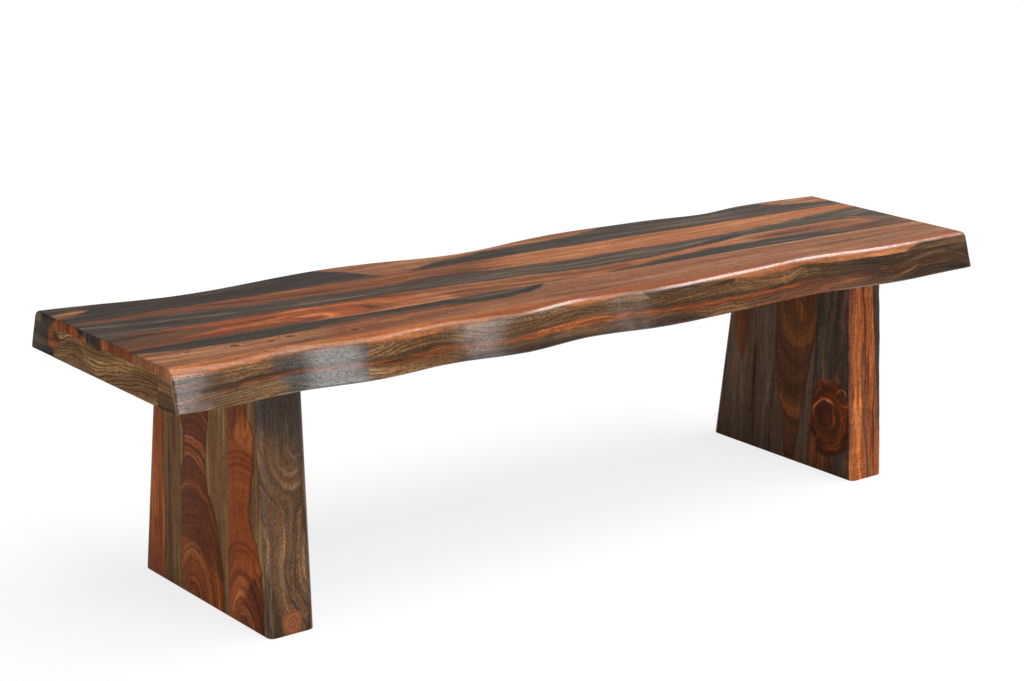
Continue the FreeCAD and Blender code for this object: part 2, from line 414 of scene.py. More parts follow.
# Wood colours: deep, body and light tone of each kind

WOOD_TONES = {
    "orange": ((104, 54, 30), (159, 96, 55), (193, 131, 84)),
    "tan": ((86, 50, 31), (136, 85, 53), (170, 118, 80)),
    "copper": ((58, 23, 10), (144, 70, 30), (204, 122, 63)),
    "russet": ((72, 31, 13), (138, 68, 27), (182, 103, 50)),
    "ember": ((80, 36, 15), (146, 75, 29), (192, 112, 54)),
    "flame": ((84, 36, 16), (150, 77, 36), (200, 118, 64)),
    "amber": ((70, 36, 19), (117, 66, 36), (156, 96, 54)),
    "redwood": ((56, 25, 13), (106, 53, 28), (168, 94, 48)),
    "rust": ((47, 29, 20), (92, 58, 38), (138, 80, 45)),
    "charcoal": ((29, 22, 17), (53, 43, 35), (100, 80, 63)),
    "slate": ((36, 28, 22), (67, 54, 44), (114, 91, 72)),
    "olive": ((46, 31, 19), (112, 82, 55), (158, 123, 85)),
    "hazel": ((42, 27, 15), (96, 65, 38), (140, 101, 63)),
    "dusk": ((29, 20, 13), (62, 43, 28), (102, 74, 49)),
    "walnut": ((46, 32, 22), (94, 67, 46), (146, 107, 71)),
    "moss": ((72, 49, 29), (119, 85, 53), (162, 123, 82)),
    "umber": ((50, 34, 23), (92, 66, 46), (140, 104, 73)),
    "gold": ((46, 29, 14), (118, 81, 42), (166, 124, 72)),
    # grey of dark wood with a painted sheen on it
    "sheen_on_dark": ((46, 42, 39), (78, 70, 64), (104, 96, 89)),
    "smoke": ((54, 42, 34), (97, 76, 60), (117, 94, 75)),
}
WOODS = {kind: [shown(*tone) for tone in tones] for kind, tones in WOOD_TONES.items()}
INK = shown(28, 16, 10)

# Fineness of each noise along the grain, across it and into the wood
BROAD_BENDS = (4, 14, 12)
SMALL_BENDS = (22, 55, 40)
GRAIN_LINES = (7, 380, 300)
FLECKS = (290, 800, 800)
CROSS_RIPPLE = (65, 16, 14)
CURLS = (9, 17, 12)
PORES = (120, 900, 900)
STREAKS = (3, 45, 24)
RING_SPREAD = (3.5, 26, 15)
KNOT_WOBBLE = (22, 22, 20)

# How far the grain bends, where ring cores run together, and how wide a dark rim is
BROAD_BEND_DEPTH = 18 * MM
SMALL_BEND_DEPTH = 8 * MM
CORE_BLEND = 30 * MM
RIM_WIDTH = 4 * MM

# Where the streaks pass from deep to body and from body to light, and the rise and fall of a ring
DEEP_TO_BODY = (0.3, 0.46)
BODY_TO_LIGHT = (0.5, 0.68)
RING_RISE = (0.35, 0.93)
RING_FALL = (1.0, 0.93)
RING_PATCHES = (0.3, 0.55)
RING_WANDER = 5
SPECKS = (0.48, 0.68)
SPECK_LEVEL = 0.3
LINE_STRENGTH = 1.1

# Pin knots: where halo and eye fade, in shares of the size, and how strongly they show
PIN_STRETCH = 0.6
PIN_HALO, HALO_STRENGTH = (2.2, 0.9), 0.2
PIN_EYE, EYE_STRENGTH = (1.1, 0.4), 0.85
PIN_BEND = 0.8

# Large knots: how far the outline wobbles, where the rim fades, and a crescent's width, side and breaks
KNOT_BEND = 0.7
KNOT_RIM = (1.0, 0.85)
CRESCENT_WIDTH = (4.5, 0.5)
CRESCENT_SIDE = (0.0, 0.9)
CRESCENT_BREAKS = (0.4, 0.62)


@dataclass
class Layer:
    """Wood of one kind between two lines along a board, with its own rings; lengths in millimetres."""

    wood: str
    low: list = None  # the wood lies above this line
    high: list = None  # and below this one
    flow: list = None  # the rings run along this line
    cores: tuple = ()  # or round these, each a place, a side and a slenderness
    gap: float = 8  # from ring to ring
    rings: float = 0.5  # how dark the rings are
    curl: float = 0.12  # strength of the ripple across the grain
    speckle: float = 0.4  # how dark the specks are
    tone: float = 1.0  # how much the streaks differ
    fine: float = 1.0  # how fine the streaks are
    swirl: float = 0.0  # how far the rings wander
    rim: float = 0.0  # how dark the border is
    soft: float = 4  # width of the border
    feather: float = 8  # how far the grain frays the border


@dataclass
class Face:
    """Wood on a board's faces that look along one axis, or on all of it when no axis is given."""

    axes: tuple
    layers: list
    pins: tuple = ()
    knots: tuple = ()
    crescents: tuple = ()
    looks: int = None
    turn: tuple = (0.55, 0.8)  # how squarely they have to look


class Board:
    """Colour of a board: layers of wood over one grain, in the board's own directions."""

    def __init__(self, graph, axes, seed):
        self.graph = g = graph
        self.along, self.across, self.depth = (getattr(g, axis) for axis in axes)
        self.seed = seed
        broad = self.texture(BROAD_BENDS, seed, detail=1)
        small = self.texture(SMALL_BENDS, seed, detail=2)
        self.across = self.across + (broad - 0.5) * BROAD_BEND_DEPTH + (small - 0.5) * SMALL_BEND_DEPTH
        self.lines = self.texture(GRAIN_LINES, seed, detail=3, roughness=0.65)
        self.flecks = self.texture(FLECKS, -seed, detail=1)
        self.specks = g.ramp(self.flecks, *SPECKS)
        self.ripple = self.texture(CROSS_RIPPLE, seed, detail=2)
        self.curls = self.texture(CURLS, -seed, detail=3)
        self.pores = self.texture(PORES, seed, detail=0)
        self.colour = None

    def texture(self, fineness, shift, detail, roughness=0.55, across=None):
        """Noise with its own fineness in each direction of the board."""
        along_scale, across_scale, depth_scale = fineness
        side = (across or self.across) * across_scale
        place = (self.along * along_scale, side, self.depth * depth_scale + shift)
        return self.graph.noise(place, detail, roughness)

    def field(self, layer):
        """Distance across the rings: from the flow line, or from the nearest ring core."""
        g = self.graph
        bend = (self.curls - 0.5) * (layer.swirl * MM)
        if not layer.cores:
            return self.across + bend - (g.line(self.along, layer.flow) if layer.flow else 0.0)
        nearest = None
        for place, side, slenderness in layer.cores:
            rise = (self.along - place * MM) * slenderness
            off = self.across - side * MM
            ring = g.math("SQRT", rise * rise + off * off)
            nearest = ring if nearest is None else g.math("SMOOTH_MIN", nearest, ring, CORE_BLEND)
        return nearest + bend

    def wood(self, layer):
        """Streaked colour of one kind of wood with its growth rings."""
        g = self.graph
        deep, body, light = WOODS[layer.wood]
        field = self.field(layer)
        streaks = (STREAKS[0], STREAKS[1] * layer.fine, STREAKS[2])
        tone = self.texture(streaks, self.seed, detail=4, roughness=0.62, across=field)
        tone = (tone - 0.5) * layer.tone + 0.5
        spread = self.texture(RING_SPREAD, -self.seed, detail=2, across=field)
        turn = g.math("FRACT", field * (1 / MM / layer.gap) + spread * RING_WANDER)
        ring = g.ramp(turn, *RING_RISE) * g.ramp(turn, *RING_FALL) * g.ramp(spread, *RING_PATCHES)
        colour = g.mix(g.ramp(tone, *DEEP_TO_BODY), deep, body)
        colour = g.mix(g.ramp(tone, *BODY_TO_LIGHT), colour, light)
        colour = g.mix(ring * layer.rings, colour, deep)
        specks = (self.specks - SPECK_LEVEL) * layer.speckle
        grain = (self.lines - 0.5) * LINE_STRENGTH - specks + (self.ripple - 0.5) * (2 * layer.curl)
        return g.shade(colour, grain + 1.0)

    def lay(self, layer):
        """Put a layer over what is there already."""
        g = self.graph
        fresh = self.wood(layer)
        if self.colour is None:
            self.colour = fresh
            return
        share = rim = None
        for points, sign in ((layer.low, 1), (layer.high, -1)):
            if points is None:
                continue
            gap = (self.across - g.line(self.along, points)) * sign
            gap = gap + (self.lines - 0.5) * (layer.feather * MM)
            part = g.ramp(gap, -layer.soft * MM / 2, layer.soft * MM / 2)
            near = g.ramp(g.size(gap), RIM_WIDTH, 0.0)
            share = part if share is None else share * part
            rim = near if rim is None else g.math("MAXIMUM", rim, near)
        self.colour = g.mix(share, self.colour, fresh)
        if layer.rim:
            self.colour = g.mix(rim * layer.rim, self.colour, INK)

    def pin_knot(self, place, side, size):
        """Small dark knot with a bright halo round it."""
        g = self.graph
        reach = size * MM
        a = (self.along - place * MM) * (PIN_STRETCH / reach)
        b = (self.across - side * MM) * (1 / reach)
        far = g.math("SQRT", a * a + b * b) + (self.flecks - 0.5) * PIN_BEND
        self.colour = g.mix(g.ramp(far, *PIN_HALO) * HALO_STRENGTH, self.colour, WOODS["flame"][2])
        self.colour = g.mix(g.ramp(far, *PIN_EYE) * EYE_STRENGTH, self.colour, INK)

    def around(self, place, side, size, stretch):
        """Wavy distance from a knot's middle in shares of its size, and the two parts of the offset."""
        g = self.graph
        wobble = self.texture(KNOT_WOBBLE, self.seed, detail=3)
        a = (self.along - place * MM) * (1 / (stretch * size * MM))
        b = (self.across - side * MM) * (1 / (size * MM))
        return g.math("SQRT", a * a + b * b) + (wobble - 0.5) * KNOT_BEND, a, b

    def ring_knot(self, place, side, size, stretch, tones):
        """Large knot whose rings follow a row of tones from its middle to its rim."""
        g = self.graph
        far = self.around(place, side, size, stretch)[0]
        ramp = g.add("ValToRGB", far)
        stops = ramp.color_ramp.elements
        while len(stops) < len(tones):
            stops.new(0.5)
        for stop, (at, tone) in zip(stops, tones):
            stop.position = at
            stop.color = shown(*tone)
        fine = g.noise((far * 34, self.along * 8, self.across * 8), detail=2)
        rings = g.shade(g.out(ramp), 0.4 + fine * 1.2)
        self.colour = g.mix(g.ramp(far, *KNOT_RIM), self.colour, rings)

    def crescent(self, place, side, size, stretch, turn, tone):
        """Bright part of a ring round a knot, on the side that the turn points to."""
        g = self.graph
        far, a, b = self.around(place, side, size, stretch)
        toward = a * math.cos(math.radians(turn)) + b * math.sin(math.radians(turn))
        fine = g.noise((far * size * 0.5, self.along * 30, self.across * 30), detail=2)
        ring = g.ramp(g.size(far - 1.0) * size, *CRESCENT_WIDTH) * g.ramp(toward, *CRESCENT_SIDE)
        self.colour = g.mix(ring * g.ramp(fine, *CRESCENT_BREAKS), self.colour, tone)

    def dress(self, face):
        """Build up everything that a face shows."""
        for layer in face.layers:
            self.lay(layer)
        for knot in face.knots:
            self.ring_knot(*knot)
        for crescent in face.crescents:
            self.crescent(*crescent)
        for pin in face.pins:
            self.pin_knot(*pin)
        return self.colour


# Lacquer: gloss of flat faces and what rounded corners add, then roughness and pores
SEAT_FINISH = (0.45, 0.5)
LEG_FINISH = (0.1, 0.25)
SAWN_FINISH = (0.02, 0.0)
END_GLOSS = 0.02
ROUGHNESS = 0.19
SATIN = 0.34
PORE_EDGE = (0.6, 0.72)
PORE_SHADE = 0.45
BUMP_STRENGTH = 0.12
BUMP_DEPTH = 0.4 * MM

# How squarely a place has to look along an axis to count as a corner, a top or an end
CORNER_TURN = (0.15, 0.4)
NOT_BELOW = (-0.4, -0.1)
TOP_TURN = (0.93, 0.995)
END_TURN = (0.75, 0.97)


def lacquered(graph, colour, board, finish):
    """Dark pores, under a lacquer that is satin on top and rubbed flat on the ends."""
    g = graph
    gloss, corner_gloss = finish
    pore = g.ramp(board.pores, *PORE_EDGE)
    side, front = g.size(g.facing[0]), g.size(g.facing[1])
    rounded = g.ramp(side, *CORNER_TURN) * g.ramp(front, *CORNER_TURN) * g.ramp(g.facing[2], *NOT_BELOW)
    satin = g.ramp(g.facing[2], *TOP_TURN) * SATIN
    shader = g.shader
    g.feed(shader.inputs["Base Color"], g.shade(colour, 1 - pore * PORE_SHADE))
    g.feed(shader.inputs["Roughness"], ROUGHNESS + satin + pore * 0.06 + board.lines * 0.05)
    g.feed(shader.inputs["Specular IOR Level"],
           gloss - g.ramp(side, *END_TURN) * (gloss - END_GLOSS) + rounded * corner_gloss)
    bump = g.add("Bump")
    bump.inputs["Strength"].default_value = BUMP_STRENGTH
    bump.inputs["Distance"].default_value = BUMP_DEPTH
    g.feed(bump.inputs["Height"], board.lines * 0.4 - pore)
    g.feed(shader.inputs["Normal"], g.out(bump))
    return g.material


def board_wood(name, seed, main, *faces, finish=SEAT_FINISH):
    """Material of one board: its main face, then the faces that show something else."""
    g = Graph(name + "_rosewood")
    board = Board(g, main.axes, seed)
    colour = board.dress(main)
    for face in faces:
        seed += 0.5
        fresh = Board(g, face.axes, seed).dress(face)
        colour = g.mix(g.ramp(g.size(g.facing[face.looks]), *face.turn), colour, fresh)
    return lacquered(g, colour, board, finish)


# Directions along the grain, across it and into the wood, and the axes that faces look along

SEAT_AXES = ("x", "y", "z")
STRIP_AXES = ("x", "z", "y")
FASCIA_AXES = ("y", "z", "x")
LEG_AXES = ("z", "y", "x")
LEG_EDGE_AXES = ("z", "x", "y")
INNER_AXES = ("y", "x", "z")
X_FACES, Y_FACES = 0, 1
ROUND_CORNER = (0.1, 0.3)
FRAYED = {"feather": 36, "fine": 1.6}


def between(*rows):
    """Lower and upper line of a layer, from rows of a place and its two heights."""
    return {
        "low": [(place, low) for place, low, high in rows],
        "high": [(place, high) for place, low, high in rows],
    }


# Seat boards: lines of the figure on top as (X, Y), at the ends as (Z, Y), in millimetres

# On the front face, as (X, Z): where the dark wood ends upward, a grey stretch of dark wood under a painted
# sheen, and a dark one
FRONT_SHADE = [
    (-863, 444), (-560, 444), (-460, 442), (-363, 446), (-303, 449), (-265, 455), (-225, 456), (-163, 453),
    (-123, 446), (-83, 443), (-33, 447), (-3, 450), (37, 456), (87, 457), (187, 453), (227, 450), (267, 445),
    (337, 442), (437, 444), (637, 441), (700, 447), (760, 458), (863, 462),
]
SHEEN_ON_DARK_LOW = [(-725, 520), (-605, 340), (-570, 340), (-515, 520)]
DUSK_LOW = [(220, 470), (360, 448), (500, 428), (620, 400), (720, 370), (863, 360)]


def front_board_wood():
    warmth = [(-863, -188), (-500, -184), (-300, -150), (-120, -60)]
    left_end = [(-863, -300), (-720, -300), (-480, 0)]
    rim = [(-863, -184), (-400, -180), (0, -178), (400, -186), (863, -194)]
    streak = [
        (-863, -94), (-763, -113), (-663, -122), (-563, -118), (-413, -108), (-323, -109), (-263, -122),
        (-213, -128), (-163, -124), (-123, -114), (-78, -85), (-60, -70),
    ]
    pin_knots = [
        (-793, -127, 5), (-718, -135, 6), (-658, -142, 5), (-620, -135, 6), (-515, -155, 6), (-408, -152, 4),
        (-338, -152, 4),
    ]
    rim_shadow = [(20, 470), (70, 436), (220, 436), (270, 470)]
    top = Face(SEAT_AXES, pins=pin_knots, layers=[
        Layer("tan", rings=0.3, gap=11, fine=1.6, swirl=16),
        Layer("amber", low=warmth, rings=0.4, gap=11, curl=0.2, fine=1.4, swirl=24, soft=44),
        Layer("tan", low=left_end, rings=0.4, gap=11, fine=1.4, swirl=24, soft=160),
        Layer("ember", high=rim, rings=0.3, gap=11, tone=0.7, soft=26, feather=16),
        Layer("charcoal", low=streak, flow=streak, tone=0.9, **FRAYED),
    ])
    front = Face(STRIP_AXES, looks=Y_FACES, layers=[
        Layer("orange", gap=12, rings=0.4, curl=0.2),
        Layer("olive", high=FRONT_SHADE, gap=6, speckle=1.0, rim=0.35, soft=5),
        # dark wood greyed by a painted sheen
        Layer("sheen_on_dark", low=SHEEN_ON_DARK_LOW, high=FRONT_SHADE, gap=5, soft=30, feather=14),
        Layer("dusk", low=rim_shadow, high=FRONT_SHADE, gap=5, tone=1.1, soft=6),
        Layer("dusk", low=DUSK_LOW, high=FRONT_SHADE, gap=5, tone=1.1, soft=6),
    ])
    end = Face(LEG_AXES, [Layer("tan", gap=9)], looks=X_FACES)
    return board_wood("front_board", 1.3, top, front, end)


def mid_front_board_wood():
    streak = [
        (-863, -7), (-803, 0), (-693, 1), (-563, 0), (-463, -4), (-363, -6), (-263, -10), (-163, -18),
        (-83, -27), (-13, -33), (87, -39), (187, -39), (267, -34), (337, -23), (437, -8), (537, 0), (637, 3),
        (737, 2), (797, -23), (863, -55),
    ]
    spindle = [
        (40, -95), (57, -85), (137, -74), (217, -61), (337, -46), (437, -43), (537, -49), (587, -58),
        (667, -75), (730, -95),
    ]
    curls = [(-863, -140), (-560, -120), (-360, -60), (-200, 20), (-120, 80)]
    curl_cores = ((-880, -35, 0.3), (-640, -62, 0.16))
    warmth = [(-380, 40), (-280, -40), (-200, -120), (60, -120), (160, -40), (240, 40)]
    dark = between((-863, -72, 20), (-800, -66, 0), (-720, -48, -12), (-660, -12, -34))
    smoky_low = [(400, 0), (440, -20), (520, -50), (600, -80), (720, -100), (863, -100)]
    smoky_high = [(400, -30), (440, -24), (520, -16), (640, -12), (780, -22), (863, -60)]
    red = [(-863, -62), (-760, -54), (-640, -54), (-560, -64), (-430, -92)]
    joint = [(-863, -84), (-800, -75), (-700, -72), (-560, -76), (-430, -92)]
    top = Face(SEAT_AXES, [
        Layer("orange", flow=streak, rings=0.5, curl=0.2, tone=1.2, fine=1.6, swirl=14),
        Layer("copper", low=curls, cores=curl_cores, gap=12, rings=0.7, curl=0.3, tone=1.2, fine=1.4,
              swirl=20, soft=90, feather=60),
        Layer("amber", low=warmth, flow=streak, rings=0.4, curl=0.3, tone=1.3, fine=1.6, swirl=16, soft=60,
              feather=50),
        Layer("rust", **dark, soft=20, feather=40),
        Layer("rust", low=smoky_low, high=smoky_high, tone=1.6, soft=24, feather=70),
        Layer("slate", low=streak, flow=streak, **FRAYED),
        Layer("redwood", high=red, gap=10, tone=0.8, fine=1.6, soft=16, feather=20),
        Layer("charcoal", high=joint, tone=0.9, fine=1.6, feather=14),
        Layer("charcoal", high=spindle, flow=spindle, tone=0.9, **FRAYED),
    ])
    end = Face(LEG_AXES, [Layer("redwood", gap=9)], looks=X_FACES)
    return board_wood("mid_front_board", 4.7, top, end)


def mid_rear_board_wood():
    streak = [
        (-863, 103), (-803, 90), (-713, 79), (-613, 65), (-513, 51), (-413, 46), (-303, 45), (-223, 50),
        (-143, 46), (-83, 33), (-13, 32), (87, 26), (237, 24), (437, 28), (557, 36), (637, 45), (737, 62),
        (863, 72),
    ]
    warmth = [(-863, -40), (-240, -40), (-80, 60), (60, 180)]
    top = Face(SEAT_AXES, [
        Layer("orange", flow=streak, rings=0.35, gap=11, fine=1.6, swirl=10),
        Layer("amber", low=warmth, flow=streak, gap=11, fine=1.6, swirl=16, soft=120),
        Layer("slate", high=streak, flow=streak, **FRAYED),
    ])
    end = Face(LEG_AXES, [Layer("charcoal"), Layer("russet", low=[(441, 47), (457, 90)])], looks=X_FACES)
    return board_wood("mid_rear_board", 7.9, top, end)


def rear_board_wood():
    past = 260  # beyond the rear edge
    streak = [
        (-863, past), (-385, past), (-363, 200), (-310, 150), (-263, 103), (-240, 96), (-223, 103),
        (-163, 128), (-63, 147), (37, 156), (187, 166), (287, 190), (340, 215), (380, past), (690, past),
        (705, 185), (737, 160), (787, 145), (863, 130),
    ]
    # past this line the dark streak is painted lighter grey: painted sheen
    painted_sheen_line = [(-60, past), (60, 60)]
    patch_low = [(-863, 140), (-830, 146), (-800, 166), (-790, 180)]
    patch_high = [(-863, 160), (-820, 172), (-800, 166), (-790, 140)]
    top = Face(SEAT_AXES, [
        Layer("tan", rings=0.3),
        Layer("charcoal", high=streak, tone=0.9, **FRAYED),
        Layer("slate", low=painted_sheen_line, high=streak, tone=0.9, **FRAYED),
        Layer("tan", low=patch_low, high=patch_high, soft=14, feather=30),
    ])
    rear = Face(STRIP_AXES, [Layer("umber", gap=7)], looks=Y_FACES)
    end = Face(LEG_AXES, [Layer("charcoal"), Layer("russet", high=[(441, 165), (457, 146)])], looks=X_FACES)
    return board_wood("rear_board", 11.1, top, rear, end)


def seat_boards():
    front, middle, rear = JOINTS
    boards = {
        "front": (front_board_wood, lambda x, drop: edge_board_section("front", x, drop, front)),
        "mid_front": (mid_front_board_wood, lambda x, drop: mid_board_section(drop, front, middle)),
        "mid_rear": (mid_rear_board_wood, lambda x, drop: mid_board_section(drop, middle, rear)),
        "rear": (rear_board_wood, lambda x, drop: edge_board_section("rear", x, drop, rear)),
    }
    for name, (wood, section) in boards.items():
        label = f"seat_board_{name}"
        piece = seat_piece(label + "_wood", section, name != "rear")
        finish_piece(piece, wood(), "seat_boards", label)


# Edge strips: a russet band runs along the seam between them, lines as (X, Z) in millimetres

UPPER_WAVE = [
    (-863, 420), (-700, 431), (-560, 424), (-420, 438), (-260, 425), (-120, 436), (0, 428), (160, 437),
    (300, 424), (360, 418), (480, 430), (640, 425), (760, 440), (863, 415),
]
LOWER_WAVE = [
    (-863, 398), (-700, 410), (-560, 402), (-460, 396), (-330, 408), (-230, 400), (-60, 396), (60, 408),
    (220, 398), (360, 394), (500, 406), (640, 414), (740, 420), (863, 424),
]
BAND_LINES = between(
    (-863, 415, 414), (-763, 417, 418), (-663, 420, 422), (-560, 418, 420), (-460, 414, 417),
    (-360, 414, 417), (-240, 412, 419), (-100, 413, 421), (0, 414, 422), (60, 413, 421), (200, 411, 419),
    (337, 410, 417), (440, 411, 416), (520, 414, 415), (600, 418, 417),
)
MIDDLE_LOW = [(-640, 480), (-540, 430), (-460, 370)]

# Layers that both front strips have
BAND = Layer("russet", **BAND_LINES, gap=5, rim=0.3, soft=9, feather=14)
MIDDLE = Layer("hazel", low=MIDDLE_LOW, flow=UPPER_WAVE, gap=6, rings=0.7, curl=0.2, speckle=1.0, fine=1.4,
               soft=40, feather=40)
# Dark wood greyed by a painted sheen, on the left part of the front
SHEEN_ON_DARK = Layer("sheen_on_dark", low=SHEEN_ON_DARK_LOW, flow=UPPER_WAVE, gap=6, rings=0.6, speckle=0.8, fine=1.4, soft=90,
             feather=30)
DUSK = Layer("dusk", low=DUSK_LOW, flow=UPPER_WAVE, gap=5, rings=0.9, tone=1.1, fine=1.4, soft=30, feather=40)

# Ends of the strips, lines as (Y, Z)
FRONT_STRIP_END = Face(FASCIA_AXES, [Layer("walnut", gap=7, rings=0.4)], looks=X_FACES)
REAR_STRIP_END = Face(FASCIA_AXES, looks=X_FACES, layers=[
    Layer("dusk", gap=8),
    Layer("russet", low=[(157, 408), (168, 408), (180, 440)], high=[(157, 440), (170, 436), (180, 410)],
          soft=8),
])


def front_upper_strip_wood():
    left_end = [(-863, 470), (-810, 460), (-740, 380)]
    right_end = [(770, 446), (800, 438), (863, 414)]
    left_half = BAND_LINES["high"][:9]
    shadow_low = left_half + [(337, 417), (600, 417), (863, 424)]
    shadow_high = [(x, z + 7) for x, z in shadow_low]
    face = Face(STRIP_AXES, [
        Layer("olive", flow=UPPER_WAVE, gap=6, rings=0.6, curl=0.2, speckle=1.0, fine=1.4),
        # Darker wood at the left end: painted shade that tones down the sheen there
        Layer("hazel", high=left_end, flow=UPPER_WAVE, gap=6, rings=0.6, fine=1.4, soft=24, feather=30),
        MIDDLE,
        SHEEN_ON_DARK,
        DUSK,
        Layer("dusk", low=right_end, tone=0.8, rim=0.6),
        Layer("dusk", low=shadow_low, high=shadow_high, gap=5, soft=6, feather=12),
        BAND,
    ])
    return board_wood("front_upper_strip", 2.2, face, FRONT_STRIP_END)


def front_lower_strip_wood():
    left_end = [(-863, 440), (-800, 412), (-740, 380)]
    rust_low = [(250, 430), (330, 385), (560, 385), (650, 430)]
    shade_high = [(-440, 380), (-330, 402), (-240, 411), (-100, 412), (20, 412), (120, 406), (220, 386)]
    face = Face(STRIP_AXES, [
        Layer("olive", flow=LOWER_WAVE, gap=5, rings=0.85, curl=0.15, speckle=0.7, fine=1.4),
        # Darker wood at the left end: painted shade that tones down the sheen there
        Layer("hazel", high=left_end, flow=LOWER_WAVE, gap=5, rings=0.85, fine=1.4, soft=24, feather=30),
        MIDDLE,
        SHEEN_ON_DARK,
        Layer("rust", low=rust_low, flow=LOWER_WAVE, gap=5, tone=1.2, fine=1.4, soft=20, feather=30),
        DUSK,
        Layer("dusk", high=shade_high, gap=5, soft=10, feather=16),
        BAND,
    ])
    return board_wood("front_lower_strip", 3.4, face, FRONT_STRIP_END)


def rear_strip_wood(name, seed, **figure):
    return board_wood(name, seed, Face(STRIP_AXES, [Layer("umber", **figure)]), REAR_STRIP_END)


def rear_upper_strip_wood():
    return rear_strip_wood("rear_upper_strip", 5.6, flow=UPPER_WAVE, gap=7)


def rear_lower_strip_wood():
    return rear_strip_wood("rear_lower_strip", 6.2, flow=LOWER_WAVE, gap=6, rings=0.7)


def edge_strips():
    levels = {"lower": (UNDERSIDE, STRIP_SEAM), "upper": (STRIP_SEAM, PANEL_UNDER)}
    strips = {
        ("front", "upper"): front_upper_strip_wood,
        ("front", "lower"): front_lower_strip_wood,
        ("rear", "upper"): rear_upper_strip_wood,
        ("rear", "lower"): rear_lower_strip_wood,
    }
    for (edge, layer), wood in strips.items():
        low, high = levels[layer]
        label = f"{edge}_edge_{layer}_strip"
        piece = seat_piece(
            label + "_wood", lambda x, drop: strip_section(edge, x, drop, low, high), edge == "rear")
        finish_piece(piece, wood(), "edge_strips", label)


# End fascias, with the grain across the bench; lines as (Y, Z) in millimetres


def fascia_wood():
    flow = [
        (-157, 428), (-110, 424), (-60, 416), (-10, 408), (25, 403), (50, 405), (66, 418), (74, 432),
        (95, 434), (125, 424), (157, 418),
    ]
    corner = between((134, 432, 424), (142, 416, 434), (157, 402, 440))
    face = Face(FASCIA_AXES, [
        Layer("gold", flow=flow, gap=5, rings=0.9, curl=0.2, speckle=0.8, fine=1.8, swirl=10),
        Layer("russet", **corner, soft=6, rim=0.4),
    ])
    return board_wood("end_fascia", 8.4, face)


def end_fascias():
    material = fascia_wood()
    ease, corner = FASCIA_EASE, 0.3 * FASCIA_EASE
    for side, sign in (("left", -1), ("right", 1)):
        label = f"{side}_end_fascia"
        low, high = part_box(label)
        outer, inner = (low.x, high.x) if sign < 0 else (high.x, low.x)
        section = [
            (inner, UNDERSIDE), (outer - sign * ease, UNDERSIDE),
            (outer - sign * corner, UNDERSIDE + corner), (outer, UNDERSIDE + ease),
            (outer, PANEL_UNDER), (inner, PANEL_UNDER),
        ]
        rings = []
        for y in (low.y, high.y):
            ring = [(x, y, z) for x, z in section]
            rings.append(ring if sign > 0 else ring[::-1])
        finish_piece(loft(label + "_wood", rings), material, "end_fascias", label)


# Legs: lines of the figure as (Z, Y) in millimetres, on the front and rear faces as (Z, X)

REAR_EDGE_FACE = Face(LEG_EDGE_AXES, [Layer("umber", gap=9)], looks=Y_FACES, turn=ROUND_CORNER)


def left_leg_rear_wood():
    face = Face(LEG_AXES, [
        Layer("moss", gap=8, rings=0.3),
        Layer("russet", low=[(0, 115), (140, 120), (217, 125), (285, 122), (392, 124)], rim=0.6),
        Layer("flame", low=[(0, 118), (40, 126), (90, 160), (130, 220)], gap=9, soft=24, feather=20),
    ])
    return board_wood("left_leg_rear", 1.9, face, REAR_EDGE_FACE, finish=LEG_FINISH)


def left_leg_mid_wood():
    cores = ((-50, 28, 0.4),)
    foot = [(0, -120), (40, -70), (80, 20), (120, 110)]
    front_edge = [
        (0, -62), (42, -60), (92, -52), (122, -45), (152, -35), (177, -22), (202, -9), (227, -6), (267, -12),
        (307, -17), (392, -22),
    ]
    rear_edge = [(180, 72), (192, 66), (212, 62), (237, 56), (257, 55), (277, 60), (292, 68), (392, 74)]
    face = Face(LEG_AXES, [
        Layer("redwood", cores=cores, rings=0.55, gap=5, tone=0.9, fine=3.6, swirl=20, curl=0.3),
        # Lighter wood towards the foot: the board's own orange, also painting bounce light from the floor
        Layer("ember", low=foot, cores=cores, gap=5, fine=3.6, swirl=20, curl=0.3, soft=90, feather=20),
        Layer("moss", high=front_edge, rim=0.6, rings=0.3),
        Layer("moss", low=rear_edge, rim=0.6),
    ])
    return board_wood("left_leg_mid", 3.3, face, finish=LEG_FINISH)


